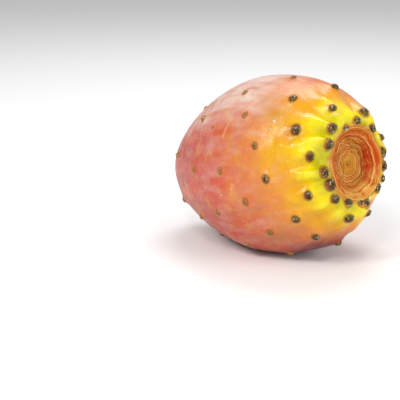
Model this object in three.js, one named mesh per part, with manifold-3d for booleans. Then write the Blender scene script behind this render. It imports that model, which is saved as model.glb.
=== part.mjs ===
// Prickly pear, the fruit of Opuntia ficus-indica, picked and lying on its side.
//
// Millimetres, +Z up. The flower end points to +X and tips up a little, the stem end points to -X.
// The origin is on the surface that the fruit lies on, under the middle of its bounding box.
//
// A place on the fruit is given by two numbers. "Arc" is the distance in mm along the skin from
// the rim of the flower scar towards the stem, and is negative inside the scar. "Bearing" is the
// angle in degrees round the long axis: 0 is the top, 90 is the -Y side and 180 is underneath.

import * as THREE from 'three';
import { mergeVertices } from 'three/addons/utils/BufferGeometryUtils.js';
import Module from 'manifold-3d';

const wasm = await Module();
wasm.setup();

// Barrel: the body without its humps.
const LENGTH = 74;                  // from the stem end to the rim of the flower scar
const WIDEST_RADIUS = 28;
const WIDEST_AT = 0.55 * LENGTH;    // from the stem end
const STEM_POWER = 1.5;             // how soon the stem half narrows
const FLOWER_POWER = 2.55;          // how full the flower half stays
const AXIS_TILT = 9.9;              // degrees, the flower end above the stem end
const OUTLINE_STEPS = 400;
const NORMAL_STEP = 0.5;            // arc over which the skin's direction is measured

// Where the middle of the long axis lies. Its height leaves a flat spot 0.8 deep in the belly.
const AXIS_MIDDLE = new THREE.Vector3(-2.08, -0.11, 26.3);

// Broad unevenness of the barrel: lobes round it, one wave along it in so many mm of arc.
const UNEVENNESS = [
  { height: 0.3, lobes: 2, along: 150, phase: 1.1 },
  { height: 0.25, lobes: 3, along: 90, phase: 4.0 },
];

// Flower scar: a sunken round end with growth rings.
const SCAR_RADIUS = 11.1;
const SCAR_DEPTH = 3.1;
const SCAR_FLOOR_RADIUS = 3.4;      // inside this radius the floor is level
const SCAR_BRIM_RADIUS = 11.4;      // where the fall towards the floor would start
const MOAT_DEPTH = 0.6;             // the floor is a low button with a moat round it
const MOAT_RADIUS = 5.8;
const MOAT_HALF_WIDTH = 1.1;
const RING_PITCH = 1.5;
const RING_HEIGHT = 0.26;
const RING_OVAL = 0.14;             // share by which the inner rings are taller than wide
const RIM_ROUND = 1.2;              // how far the skin's unevenness runs on into the scar

// Stem scar: a small shallow dish where the fruit was cut off.
const STEM_SCAR_RADIUS = 4.5;
const STEM_SCAR_DEPTH = 1.1;
const STEM_SCAR_POWER = 4;          // how level the middle of the dish is

// Humps: each areole sits on one, which runs out in a low ridge towards the stem.
const HUMP_AT_RIM = 1.9;            // height next to the scar, over the height on the flank
const HUMP_ON_FLANK = 0.35;
const HUMP_FADE = 12;               // arc over which the height falls to a third
const HUMP_HALF_WIDTH = 2.8;
const HUMP_TO_STEM = 5.5;
const HUMP_TO_RIM = 2.4;
const HUMP_JOIN = 3;                // the higher, the less two humps that meet add up
const SKIN_SINK = 0.8;              // how far the skin between the rim humps lies below the barrel
const RIM_CALM = 0.35;              // share of the relief that is left on the rim of the scar
const RIM_CALM_REACH = 2.2;         // arc at which the relief has its full height

// Folds of the skin between the humps: from [bearing, arc] to [bearing, arc], height, half width.
const FOLDS = [
  [[47, 4], [63, 13], -1.2, 1.9], [[56, 4.5], [68, 14.5], 1.7, 2.1], [[71, 8], [78, 12], 0.6, 2.2],
  [[83, 4], [84, 13], -0.9, 2], [[95, 4], [90, 11], 0.7, 2.4], [[103, 4], [103, 11], -0.8, 2.2],
  [[128, 7], [126, 12], 0.7, 2.2], [[140, 4], [137, 10], -0.7, 1.8], [[148, 3.5], [146, 8], 0.7, 1.9],
  [[44, 7], [43, 13], 0.6, 2.4], [[27, 7], [32, 12], -0.7, 1.7], [[5, 4], [12, 11], 0.7, 2.1],
  [[345, 5], [340, 12], -0.7, 2], [[321, 5], [310, 13], 0.8, 2], [[297, 6], [287, 13], -0.8, 1.9],
  [[279, 4], [286, 10], 0.8, 1.8], [[262, 4], [255, 12], -0.7, 1.9], [[228, 4], [232, 12], -0.9, 2.4],
  [[213, 4], [205, 11], -0.7, 1.8], [[182, 4], [188, 12], 0.7, 2], [[160, 9], [168, 15], -0.6, 2.2],
];

// Areole cushions: wider round the fruit than along it, each one in a low collar of skin. The
// outline goes from the root to the top, as [share of the cushion's half width, height over the skin].
const CUSHION_ALONG = 2.6;
const CUSHION_ACROSS = 3.3;
const CUSHION_OUTLINE = [[0, -1], [1.6, -0.15], [1, 0.3], [0.7, 1.02], [0, 1.35]];
const CUSHION_AT_STEM = 0.6;        // size towards the stem, as a share of the size at the scar
const CUSHION_FADE = 20;            // arc over which the size falls most of the way to that

// Areoles as [bearing, arc], and a third number where one is larger or smaller than its place
// would make it, row by row from the scar to the stem.
const AREOLE_ROWS = [
  [[18, 0.3, 0.65], [36, 3], [58, 2], [92, 2.5], [110, 1.5, 1.15], [131, 2.4, 0.95],
    [153, 0.8, 0.95], [178, 0.3, 0.7], [189, 0.8, 0.9], [222, 0.3, 0.9], [240, 1.3, 0.7], [258, 1],
    [277, 0.8], [295, 3, 0.7], [319, 1, 0.85], [352, 1.2, 0.85]],
  [[16, 7, 0.8], [75, 6.5, 0.9], [112, 8.5, 0.9], [166, 5.2], [192, 4.2, 0.85], [243, 18],
    [263, 17.5, 0.9], [284, 18], [333, 5]],
  [[54, 12, 1.1], [30, 17.5], [92, 19.5], [127, 15], [152, 15], [184, 18.5], [219, 23, 0.9],
    [251, 25], [273, 25], [302, 22, 0.9], [350, 15]],
  [[8, 25, 0.9], [70, 23, 0.9], [50, 29.5, 0.9], [106, 28], [131, 25], [159, 28], [199, 30],
    [234, 31], [261, 32.5], [287, 30.5], [319, 29]],
  [[32, 35, 0.9], [58, 42, 0.5], [86, 36], [113, 41], [141, 38], [211, 40], [238, 41], [263, 42],
    [289, 41], [313, 39], [335, 40]],
  [[49, 50.5, 1.15], [86, 50], [122, 54], [152, 57], [206, 54], [243, 52], [280, 54], [316, 52],
    [352, 51]],
  [[14, 67], [74, 66], [118, 68], [170, 70], [220, 66], [262, 67], [306, 65]],
];

const AREOLES = AREOLE_ROWS.flat();

const SIDES = 52;
const CUSHION_SIDES = 7;
const RIM_STEPS = 9;                // short steps along the skin next to the scar
const RIM_REACH = 15;
const FLANK_STEPS = 21;
const STEM_SCAR_STEPS = 2;
const WELD = 1e-5;                  // points closer than this are one

const TURN = 2 * Math.PI;
const tilt = THREE.MathUtils.degToRad(AXIS_TILT);

// The long axis, the way up across it and the way to bearing 90.
const axis = new THREE.Vector3(Math.cos(tilt), 0, Math.sin(tilt));
const upward = new THREE.Vector3(-Math.sin(tilt), 0, Math.cos(tilt));
const sideways = new THREE.Vector3(0, -1, 0);
const stemEnd = AXIS_MIDDLE.clone().addScaledVector(axis, -LENGTH / 2);
const latheToFruit = new THREE.Matrix4().makeBasis(sideways, axis, upward).setPosition(stemEnd);

// Half the barrel's width at a distance from the stem end.
function barrelRadius(along) {
  if (along < WIDEST_AT) {
    const share = (WIDEST_AT - along) / WIDEST_AT;
    return WIDEST_RADIUS * Math.sqrt(Math.max(0, 1 - share ** STEM_POWER));
  }
  const share = (along - WIDEST_AT) / (LENGTH - WIDEST_AT);
  const narrowing = 1 - (SCAR_RADIUS / WIDEST_RADIUS) ** 2;
  return WIDEST_RADIUS * Math.sqrt(1 - narrowing * share ** FLOWER_POWER);
}

// The skin's outline from the rim of the flower scar to the stem end, as (radius, along) points
// close enough together to measure arcs on. They crowd towards the blunt stem end.
function skinOutline() {
  const points = [];
  for (let i = 0; i <= OUTLINE_STEPS; i += 1) {
    const along = LENGTH * (1 - Math.sin((Math.PI / 2) * (i / OUTLINE_STEPS)));
    points.push(new THREE.Vector2(barrelRadius(along), along));
  }
  return points;
}

const outline = skinOutline();
const outlineArcs = [0];
for (let i = 1; i < outline.length; i += 1) {
  outlineArcs.push(outlineArcs[i - 1] + outline[i].distanceTo(outline[i - 1]));
}

// The (radius, along) point of the skin at an arc.
function skinPoint(arc) {
  let i = 1;
  while (i < outline.length - 1 && outlineArcs[i] < arc) {
    i += 1;
  }
  const share = (arc - outlineArcs[i - 1]) / (outlineArcs[i] - outlineArcs[i - 1]);
  return outline[i - 1].clone().lerp(outline[i], share);
}

function arcAtRadius(radius) {
  let i = outline.length - 1;
  while (outline[i - 1].x < radius) {
    i -= 1;
  }
  return outlineArcs[i];
}

const SKIN_ARC = outlineArcs[outlineArcs.length - 1];
const STEM_SCAR_ARC = arcAtRadius(STEM_SCAR_RADIUS);

// The way out of the skin at an arc, as (radial, along).
function skinNormal(arc) {
  const before = skinPoint(Math.max(0, arc - NORMAL_STEP));
  const after = skinPoint(Math.min(SKIN_ARC, arc + NORMAL_STEP));
  const run = after.sub(before).normalize();
  return new THREE.Vector2(-run.y, run.x);
}

// The way round the fruit from one bearing to another, in degrees from -180 to 180.
function turnTo(bearing, from) {
  return THREE.MathUtils.euclideanModulo(bearing - from + 180, 360) - 180;
}

function humpHeight(arc) {
  return HUMP_ON_FLANK + HUMP_AT_RIM * Math.exp(-arc / HUMP_FADE);
}

// Height of the humps at a place, each one a bell shape that is drawn out towards the stem.
function humps(arc, bearing) {
  const radius = skinPoint(Math.max(0, arc)).x;
  let sum = 0;
  for (const [areoleBearing, areoleArc] of AREOLES) {
    const turn = THREE.MathUtils.degToRad(turnTo(bearing, areoleBearing));
    const across = (turn * radius) / HUMP_HALF_WIDTH;
    const ahead = arc - areoleArc;
    const lengthways = ahead / (ahead > 0 ? HUMP_TO_STEM : HUMP_TO_RIM);
    sum += (humpHeight(areoleArc) * Math.exp(-(across ** 2) - lengthways ** 2)) ** HUMP_JOIN;
  }
  return sum ** (1 / HUMP_JOIN);
}

// Height of the folds at a place, by its distance from the line that each one follows.
function folds(arc, bearing) {
  let sum = 0;
  for (const [[fromBearing, fromArc], [toBearing, toArc], height, halfWidth] of FOLDS) {
    const radius = skinPoint((fromArc + toArc) / 2).x;
    const turn = THREE.MathUtils.degToRad(turnTo(bearing, fromBearing));
    const spot = new THREE.Vector2(turn * radius, arc - fromArc);
    const bend = THREE.MathUtils.degToRad(toBearing - fromBearing);
    const run = new THREE.Vector2(bend * radius, toArc - fromArc);
    const share = THREE.MathUtils.clamp(spot.dot(run) / run.lengthSq(), 0, 1);
    const away = spot.addScaledVector(run, -share).length();
    sum += height * Math.exp(-((away / halfWidth) ** 2));
  }
  return sum;
}

// Height of the skin over the barrel.
function skinRelief(arc, bearing) {
  let height = humps(arc, bearing) + folds(arc, bearing) - SKIN_SINK * Math.exp(-arc / HUMP_FADE);
  for (const wave of UNEVENNESS) {
    const angle = wave.lobes * THREE.MathUtils.degToRad(bearing) + (TURN * arc) / wave.along;
    height += wave.height * Math.sin(angle + wave.phase);
  }
  const calm = THREE.MathUtils.lerp(RIM_CALM, 1, THREE.MathUtils.smoothstep(arc, 0, RIM_CALM_REACH));
  return height * calm * THREE.MathUtils.smoothstep(STEM_SCAR_ARC - arc, 0, HUMP_TO_STEM);
}

// Depth of the flower scar below its rim at a radius.
function scarDepth(radius) {
  const moat = MOAT_DEPTH * Math.exp(-(((radius - MOAT_RADIUS) / MOAT_HALF_WIDTH) ** 2));
  const bowl = 1 - THREE.MathUtils.smoothstep(radius, SCAR_FLOOR_RADIUS, SCAR_BRIM_RADIUS);
  return SCAR_DEPTH * bowl + moat;
}

// One row of the surface: its radius and its place along the axis at a bearing.
function scarRow(radius, relief) {
  const share = radius / SCAR_RADIUS;
  return (bearing) => {
    const angle = THREE.MathUtils.degToRad(bearing);
    const oval = 1 + RING_OVAL * (1 - share) * Math.cos(2 * angle);
    const fromRim = radius - SCAR_RADIUS;
    const carried = skinRelief(0, bearing) * Math.exp(-((fromRim / RIM_ROUND) ** 2));
    return [radius * oval, LENGTH - scarDepth(radius) + relief + carried];
  };
}

function skinRow(arc) {
  const point = skinPoint(arc);
  const normal = skinNormal(arc);
  return (bearing) => {
    const relief = skinRelief(arc, bearing);
    return [point.x + normal.x * relief, point.y + normal.y * relief];
  };
}

function stemScarRow(radius) {
  const edge = skinPoint(STEM_SCAR_ARC).y;
  const sunk = STEM_SCAR_DEPTH * (1 - (radius / STEM_SCAR_RADIUS) ** STEM_SCAR_POWER);
  return () => [radius, edge + sunk];
}

// All rows from the middle of the stem scar to the middle of the flower scar.
function surfaceRows() {
  const rows = [];
  for (let i = 0; i < STEM_SCAR_STEPS; i += 1) {
    rows.push(stemScarRow((STEM_SCAR_RADIUS * i) / STEM_SCAR_STEPS));
  }
  for (let i = 0; i < FLANK_STEPS; i += 1) {
    rows.push(skinRow(THREE.MathUtils.lerp(STEM_SCAR_ARC, RIM_REACH, i / FLANK_STEPS)));
  }
  for (let i = 0; i < RIM_STEPS; i += 1) {
    rows.push(skinRow(THREE.MathUtils.lerp(RIM_REACH, 0, i / RIM_STEPS)));
  }
  const ringCount = Math.floor((SCAR_RADIUS - RING_PITCH) / RING_PITCH);
  for (let i = 0; i < 2 * ringCount + 2; i += 1) {
    const radius = SCAR_RADIUS - 0.5 * RING_PITCH * (i + 0.5);
    const crest = i % 2 === 0 ? 1 : -1;
    rows.push(scarRow(radius, crest * RING_HEIGHT));
  }
  rows.push(scarRow(0, 0));
  return rows;
}

// A closed three.js geometry as a manifold solid. Faces that shrank to a line at a pole go.
function toSolid(geometry) {
  const bare = geometry.clone();
  bare.deleteAttribute('normal');
  bare.deleteAttribute('uv');
  const merged = mergeVertices(bare, WELD);
  const corners = merged.index.array;
  const kept = [];
  for (let i = 0; i < corners.length; i += 3) {
    const [a, b, c] = corners.slice(i, i + 3);
    if (a !== b && b !== c && c !== a) {
      kept.push(a, b, c);
    }
  }
  const vertProperties = new Float32Array(merged.attributes.position.array);
  const triVerts = new Uint32Array(kept);
  return new wasm.Manifold(new wasm.Mesh({ numProp: 3, vertProperties, triVerts }));
}

function toGeometry(solid) {
  const mesh = solid.getMesh();
  const geometry = new THREE.BufferGeometry();
  geometry.setAttribute('position', new THREE.BufferAttribute(mesh.vertProperties, 3));
  geometry.setIndex(new THREE.BufferAttribute(mesh.triVerts, 1));
  return geometry;
}

// The body: a lathe of plain rows, whose points are then moved to where each row puts them.
function bodyGeometry() {
  const rows = surfaceRows();
  const last = rows.length - 1;
  const plain = rows.map((row) => new THREE.Vector2(...row(0)));
  plain[0].x = 0;
  plain[last].x = 0;
  const geometry = new THREE.LatheGeometry(plain, SIDES);
  const position = geometry.attributes.position;
  for (let side = 0; side <= SIDES; side += 1) {
    const bearing = (360 * (side % SIDES)) / SIDES;
    const angle = THREE.MathUtils.degToRad(bearing);
    for (let i = 1; i < last; i += 1) {
      const [radius, along] = rows[i](bearing);
      position.setXYZ(side * rows.length + i, radius * Math.sin(angle), along, radius * Math.cos(angle));
    }
  }
  return geometry.applyMatrix4(latheToFruit);
}

// Size of the cushions at an arc.
function cushionSize(arc) {
  return CUSHION_AT_STEM + (1 - CUSHION_AT_STEM) * Math.exp(-((arc / CUSHION_FADE) ** 2));
}

// One areole cushion with its collar, its root in the skin.
function cushionGeometry(bearing, arc, ownSize) {
  const size = cushionSize(arc) * ownSize;
  const point = skinPoint(arc);
  const normal = skinNormal(arc);
  const angle = THREE.MathUtils.degToRad(bearing);
  const radial = upward.clone().multiplyScalar(Math.cos(angle)).addScaledVector(sideways, Math.sin(angle));
  const out = radial.clone().multiplyScalar(normal.x).addScaledVector(axis, normal.y);
  const across = new THREE.Vector3().crossVectors(radial, axis);
  const lengthways = new THREE.Vector3().crossVectors(across, out);
  const centre = stemEnd.clone().addScaledVector(radial, point.x).addScaledVector(axis, point.y);
  centre.addScaledVector(out, skinRelief(arc, bearing));
  const outlinePoints = CUSHION_OUTLINE.map(([share, height]) => new THREE.Vector2(share, height));
  const geometry = new THREE.LatheGeometry(outlinePoints, CUSHION_SIDES);
  geometry.scale((CUSHION_ACROSS / 2) * size, size, (CUSHION_ALONG / 2) * size);
  geometry.applyMatrix4(new THREE.Matrix4().makeBasis(across, out, lengthways));
  geometry.translate(centre.x, centre.y, centre.z);
  return geometry;
}

// Everything below the floor.
function belowFloor() {
  const size = 2 * LENGTH;
  return toSolid(new THREE.BoxGeometry(size, size, size).translate(0, 0, -size / 2));
}

// The whole fruit as one solid, with its flat spot on the floor.
function fruitGeometry() {
  let solid = toSolid(bodyGeometry());
  for (const [bearing, arc, ownSize = 1] of AREOLES) {
    solid = solid.add(toSolid(cushionGeometry(bearing, arc, ownSize)));
  }
  return toGeometry(solid.subtract(belowFloor()));
}

const skin = new THREE.MeshStandardMaterial({ color: '#e0a04a', roughness: 0.42, metalness: 0 });
const fruit = new THREE.Mesh(fruitGeometry(), skin);
fruit.name = 'prickly_pear';

const group = new THREE.Group();
group.add(fruit);

export default group;
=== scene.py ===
"""Looks of a prickly pear fruit: waxy rind, ringed flower scar, areole cushions and their bristles.

Places on the fruit are given as in the solid model. "Arc" is the distance in mm along the skin from
the rim of the flower scar towards the stem. "Bearing" is the angle in degrees round the long axis:
0 is the top, 90 is the -Y side, 180 is underneath. Shapes are worked out in mm and made in metres.
"""

import math

import bpy
import numpy as np
from mathutils import Matrix, Vector


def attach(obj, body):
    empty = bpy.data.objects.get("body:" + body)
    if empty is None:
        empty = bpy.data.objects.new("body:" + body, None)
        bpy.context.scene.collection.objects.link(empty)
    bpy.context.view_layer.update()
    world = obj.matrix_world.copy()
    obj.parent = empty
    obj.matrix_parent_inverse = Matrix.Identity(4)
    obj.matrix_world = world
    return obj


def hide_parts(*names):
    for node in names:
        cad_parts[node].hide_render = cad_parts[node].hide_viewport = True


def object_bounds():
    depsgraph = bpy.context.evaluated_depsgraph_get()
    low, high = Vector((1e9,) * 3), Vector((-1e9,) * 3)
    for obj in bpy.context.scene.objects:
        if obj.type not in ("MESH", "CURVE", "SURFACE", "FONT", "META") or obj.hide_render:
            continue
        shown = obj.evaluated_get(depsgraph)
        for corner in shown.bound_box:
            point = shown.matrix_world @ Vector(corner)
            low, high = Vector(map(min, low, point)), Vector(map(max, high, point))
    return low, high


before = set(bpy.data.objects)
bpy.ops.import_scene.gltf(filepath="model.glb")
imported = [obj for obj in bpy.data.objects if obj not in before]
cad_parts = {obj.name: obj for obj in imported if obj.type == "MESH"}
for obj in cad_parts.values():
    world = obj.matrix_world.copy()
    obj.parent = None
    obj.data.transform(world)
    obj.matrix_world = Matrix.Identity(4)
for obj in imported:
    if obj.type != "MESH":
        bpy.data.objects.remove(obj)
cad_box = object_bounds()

MM = 0.001

# ---------------------------------------------------------------- sizes shared with the solid model

LENGTH = 74.0
WIDEST_RADIUS = 28.0
WIDEST_AT = 0.55 * LENGTH
STEM_POWER = 1.5
FLOWER_POWER = 2.55
AXIS_TILT = math.radians(9.9)
AXIS_MIDDLE = np.array([-2.08, -0.11, 26.3])

# Waves of the skin as (height, lobes round the fruit, mm of arc for one wave, phase).
UNEVENNESS = [(0.3, 2, 150, 1.1), (0.25, 3, 90, 4.0)]

SCAR_RADIUS = 11.1
SCAR_DEPTH = 3.1
SCAR_FLOOR_RADIUS = 3.4
SCAR_BRIM_RADIUS = 11.4
MOAT_DEPTH = 0.6
MOAT_RADIUS = 5.8
MOAT_HALF_WIDTH = 1.1
RING_PITCH = 1.5
RING_HEIGHT = 0.26
RING_OVAL = 0.14
RIM_ROUND = 1.2

STEM_SCAR_RADIUS = 4.5
STEM_SCAR_DEPTH = 1.1
STEM_SCAR_POWER = 4

HUMP_AT_RIM = 1.9
HUMP_ON_FLANK = 0.35
HUMP_FADE = 12.0
HUMP_HALF_WIDTH = 2.8
HUMP_TO_STEM = 5.5
HUMP_TO_RIM = 2.4
HUMP_JOIN = 3
SKIN_SINK = 0.8
RIM_CALM = 0.35
RIM_CALM_REACH = 2.2

# Folds of the skin between the humps: from (bearing, arc) to (bearing, arc), height and half width.
FOLDS = [
    ((47, 4), (63, 13), -1.2, 1.9), ((56, 4.5), (68, 14.5), 1.7, 2.1), ((71, 8), (78, 12), 0.6, 2.2),
    ((83, 4), (84, 13), -0.9, 2.0), ((95, 4), (90, 11), 0.7, 2.4), ((103, 4), (103, 11), -0.8, 2.2),
    ((128, 7), (126, 12), 0.7, 2.2), ((140, 4), (137, 10), -0.7, 1.8), ((148, 3.5), (146, 8), 0.7, 1.9),
    ((44, 7), (43, 13), 0.6, 2.4), ((27, 7), (32, 12), -0.7, 1.7), ((5, 4), (12, 11), 0.7, 2.1),
    ((345, 5), (340, 12), -0.7, 2.0), ((321, 5), (310, 13), 0.8, 2.0), ((297, 6), (287, 13), -0.8, 1.9),
    ((279, 4), (286, 10), 0.8, 1.8), ((262, 4), (255, 12), -0.7, 1.9), ((228, 4), (232, 12), -0.9, 2.4),
    ((213, 4), (205, 11), -0.7, 1.8), ((182, 4), (188, 12), 0.7, 2.0), ((160, 9), (168, 15), -0.6, 2.2),
]

CUSHION_ALONG = 2.6
CUSHION_ACROSS = 3.3
CUSHION_TOP = 1.35
CUSHION_AT_STEM = 0.6
CUSHION_FADE = 20.0

# Areoles as (bearing, arc), and a third number where one is larger or smaller than its place would
# make it, row by row from the scar to the stem.
AREOLE_ROWS = [
    [(18, 0.3, 0.65), (36, 3), (58, 2), (92, 2.5), (110, 1.5, 1.15), (131, 2.4, 0.95),
     (153, 0.8, 0.95), (178, 0.3, 0.7), (189, 0.8, 0.9), (222, 0.3, 0.9), (240, 1.3, 0.7),
     (258, 1), (277, 0.8), (295, 3, 0.7), (319, 1, 0.85), (352, 1.2, 0.85)],
    [(16, 7, 0.8), (75, 6.5, 0.9), (112, 8.5, 0.9), (166, 5.2), (192, 4.2, 0.85), (243, 18),
     (263, 17.5, 0.9), (284, 18), (333, 5)],
    [(54, 12, 1.1), (30, 17.5), (92, 19.5), (127, 15), (152, 15), (184, 18.5), (219, 23, 0.9),
     (251, 25), (273, 25), (302, 22, 0.9), (350, 15)],
    [(8, 25, 0.9), (70, 23, 0.9), (50, 29.5, 0.9), (106, 28), (131, 25), (159, 28), (199, 30),
     (234, 31), (261, 32.5), (287, 30.5), (319, 29)],
    [(32, 35, 0.9), (58, 42, 0.5), (86, 36), (113, 41), (141, 38), (211, 40), (238, 41), (263, 42),
     (289, 41), (313, 39), (335, 40)],
    [(49, 50.5, 1.15), (86, 50), (122, 54), (152, 57), (206, 54), (243, 52), (280, 54), (316, 52),
     (352, 51)],
    [(14, 67), (74, 66), (118, 68), (170, 70), (220, 66), (262, 67), (306, 65)],
]
AREOLES = [(*entry, 1.0)[:3] for row in AREOLE_ROWS for entry in row]

# ---------------------------------------------------------------- sizes of the finer detail

# Old scratches that healed as thin pale lines, each from (bearing, arc) to (bearing, arc).
SCRATCHES = [
    ((18, 9.1), (20, 7.4)), ((20, 7.4), (19, 5.6)), ((19, 5.6), (13, 4.6)), ((13, 4.6), (6, 5.3)),
    ((32, 36.5), (36, 37.8)), ((36, 37.8), (44, 41.3)), ((47, 29.8), (42, 29.7)), ((42, 29.7), (38, 28.6)),
    ((52, 34.7), (58, 35.9)), ((58, 35.9), (64, 36.6)), ((95, 32), (101, 33.5)), ((150, 36), (158, 38)),
    ((130, 44), (137, 43)), ((240, 33), (246, 35)), ((300, 36), (306, 38.5)), ((285, 47), (292, 46)),
]
SCRATCH_HALF_WIDTH = 0.45
# Beads of dried sap as (bearing, arc, half width).
BEADS = [
    (51, 19.2, 0.62), (57, 19.9, 0.4), (54, 17.5, 0.34), (53, 16.2, 0.36), (40, 15.9, 0.34),
    (48, 17.6, 0.3),
]
# Places that ripened otherwise, as (bearing, arc, half width): dull olive ones and yellow ones.
OLIVE_PATCHES = [(39, 24, 4.5), (28, 32, 3.5), (46, 19, 2.5), (140, 24, 4), (255, 24, 5), (320, 17, 4)]
YELLOW_PATCHES = [(64, 25, 2.8), (78, 29, 2.2), (42, 15, 3), (100, 33, 3), (185, 26, 3), (290, 33, 4)]

# How deep a felt cushion is set in the skin.
CUSHION_FOOT = 0.9
# How strong the lumps of a felt cushion are, and the share of that height that they reach at most.
LUMP_HEIGHT = 0.2
LUMP_REACH = 0.6
# Top of a felt cushion without its lumps, which reach the top of the solid cushion.
FELT_TOP = CUSHION_TOP - LUMP_REACH * LUMP_HEIGHT
# The collar of skin round a cushion; its half width is so many times the cushion's.
COLLAR_HEIGHT = 0.6
COLLAR_SPREAD = 1.5

# Fine rings in the scar, so many to a growth ring, and the share of a turn that they are ahead.
FINE_RINGS = 2.6
FINE_RING_START = 0.4
FINE_RING_HEIGHT = 0.16
# A ring rises over one share of its width and drops over another.
RING_RISE = 0.75
RING_DROP = 0.18
# The growth rings are out of round, and run in and out, in waves of (mm, lobes, twist in radians for
# each mm outwards, phase). The waves reach their height so many mm from the middle and the rim.
RING_WAVES = [(0.3, 2, 0.2, 1), (0.12, 5, -0.5, 0), (0.06, 9, 1, 0), (0.03, 17, -2, 0)]
WAVES_FROM_MIDDLE = 5
WAVES_FROM_RIM = 2
# How much lower the growth rings are in places, and the lobes and the twist of those places.
RING_SWELL = 0.3
SWELL_LOBES = 3
SWELL_TWIST = 0.8
# Bearing of the scar's red side, which is also the side that gets painted shade in the moat.
SCAR_RED_SIDE = 280
# Radii of the pale lips that stand out among the rings.
SCAR_LIPS = (3.6, 5.2, 8.8)

# Arc at which the yellow of the flower end has turned to orange, how much further that is on one
# side, and the bearing of that side.
YELLOW_REACH = 9.2
YELLOW_BIAS = 5.8
YELLOW_SIDE = 66

# Lobes round the fruit as (bearing, cosine of the turn from it where the lobe starts, and where it is
# full): the scar's pale side, partly painted light, and the rind's underside, with painted shade in
# crimson.
SCAR_PALE_LIT_LOBE = (190, 0.2, 0.9)
CRIMSON_SHADE_LOBE = (180, 0.84, 0.98)
CRIMSON_SHADE_ARCS = (10, 20)

# The waxy bloom: arcs where it starts and is full, how thick it is all round, and how much more there
# is in a lobe on the top, where it is partly a painted sheen, and in a wide one at the back.
BLOOM_ARCS = (12, 42)
BLOOM_ALL_ROUND = 0.08
BLOOM_AND_SHEEN_TOP_LOBE = (22, 0.76, 0.97)
BLOOM_AND_SHEEN_ON_TOP = 0.92
BLOOM_BACK_LOBE = (262, -0.2, 0.9)
BLOOM_AT_BACK = 0.34

# Arcs between which the felt turns from olive to tan.
TAN_ARCS = (16, 28)
# The stain on the stem side of a cushion, in half cushions: how far it lies from the cushion's middle,
# and its half width.
STAIN_BEHIND = 0.9
STAIN_HALF_WIDTH = 0.9

# ---------------------------------------------------------------- shape of the skin

AXIS = np.array([math.cos(AXIS_TILT), 0.0, math.sin(AXIS_TILT)])
UPWARD = np.array([-math.sin(AXIS_TILT), 0.0, math.cos(AXIS_TILT)])
SIDEWAYS = np.array([0.0, -1.0, 0.0])


def barrel_radius(along):
    """Half the barrel's width at distances from the stem end."""
    behind = np.clip((WIDEST_AT - along) / WIDEST_AT, 0, 1)
    ahead = np.clip((along - WIDEST_AT) / (LENGTH - WIDEST_AT), 0, 1)
    narrowing = 1 - (SCAR_RADIUS / WIDEST_RADIUS) ** 2
    return WIDEST_RADIUS * np.sqrt((1 - behind**STEM_POWER) * (1 - narrowing * ahead**FLOWER_POWER))


OUTLINE_STEPS = 400
OUTLINE_ALONG = LENGTH * (1 - np.sin(np.linspace(0, math.pi / 2, OUTLINE_STEPS + 1)))
OUTLINE_RADIUS = barrel_radius(OUTLINE_ALONG)
OUTLINE_ARC = np.concatenate(
    [[0], np.cumsum(np.hypot(np.diff(OUTLINE_ALONG), np.diff(OUTLINE_RADIUS)))]
)
SKIN_ARC = OUTLINE_ARC[-1]
STEM_HALF = slice(OUTLINE_STEPS // 2, None)
STEM_SCAR_ARC = float(np.interp(-STEM_SCAR_RADIUS, -OUTLINE_RADIUS[STEM_HALF], OUTLINE_ARC[STEM_HALF]))


def skin_point(arc):
    """Radius and distance along the axis of the plain barrel at arcs."""
    return np.interp(arc, OUTLINE_ARC, OUTLINE_RADIUS), np.interp(arc, OUTLINE_ARC, OUTLINE_ALONG)


def skin_normal(arc):
    """The way out of the barrel at arcs, as its radial part and its part along the axis."""
    step = 0.5
    radius_before, along_before = skin_point(np.maximum(0, arc - step))
    radius_after, along_after = skin_point(np.minimum(SKIN_ARC, arc + step))
    length = np.hypot(radius_after - radius_before, along_after - along_before)
    return (along_before - along_after) / length, (radius_after - radius_before) / length


def smoothstep(value, low, high):
    """0 below low, 1 above high, and a smooth rise between them."""
    share = np.clip((value - low) / (high - low), 0, 1)
    return share * share * (3 - 2 * share)


def turn_between(bearing, other):
    """Degrees from the other bearing to this one, the short way round."""
    return (bearing - other + 180) % 360 - 180


def lobe(bearing, middle, start, full):
    """1 at the middle bearing and 0 far from it; start and full are cosines of the turn from it."""
    return smoothstep(np.cos(np.radians(bearing - middle)), start, full)


def hump_height(arc):
    """Height of the hump of an areole at an arc."""
    return HUMP_ON_FLANK + HUMP_AT_RIM * math.exp(-arc / HUMP_FADE)


def humps(arc, bearing):
    """Height of the humps: a bell shape under each areole, drawn out towards the stem."""
    radius = skin_point(np.maximum(0, arc))[0]
    total = np.zeros(np.broadcast(arc, bearing).shape)
    for areole_bearing, areole_arc, _ in AREOLES:
        across = np.radians(turn_between(bearing, areole_bearing)) * radius / HUMP_HALF_WIDTH
        ahead = arc - areole_arc
        lengthways = ahead / np.where(ahead > 0, HUMP_TO_STEM, HUMP_TO_RIM)
        total += (hump_height(areole_arc) * np.exp(-(across**2) - lengthways**2)) ** HUMP_JOIN
    return total ** (1 / HUMP_JOIN)


def off_line(arc, bearing, start, end):
    """Distance in mm from the line between two (bearing, arc) places."""
    radius = skin_point((start[1] + end[1]) / 2)[0]
    across = np.radians(turn_between(bearing, start[0])) * radius
    ahead = arc - start[1]
    run = np.array([math.radians(end[0] - start[0]) * radius, end[1] - start[1]])
    share = np.clip((across * run[0] + ahead * run[1]) / run.dot(run), 0, 1)
    return np.hypot(across - share * run[0], ahead - share * run[1])


def folds(arc, bearing):
    """Height of the folds: long low ridges, and grooves where the height is negative."""
    total = np.zeros(np.broadcast(arc, bearing).shape)
    for start, end, height, half_width in FOLDS:
        total += height * np.exp(-((off_line(arc, bearing, start, end) / half_width) ** 2))
    return total


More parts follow.
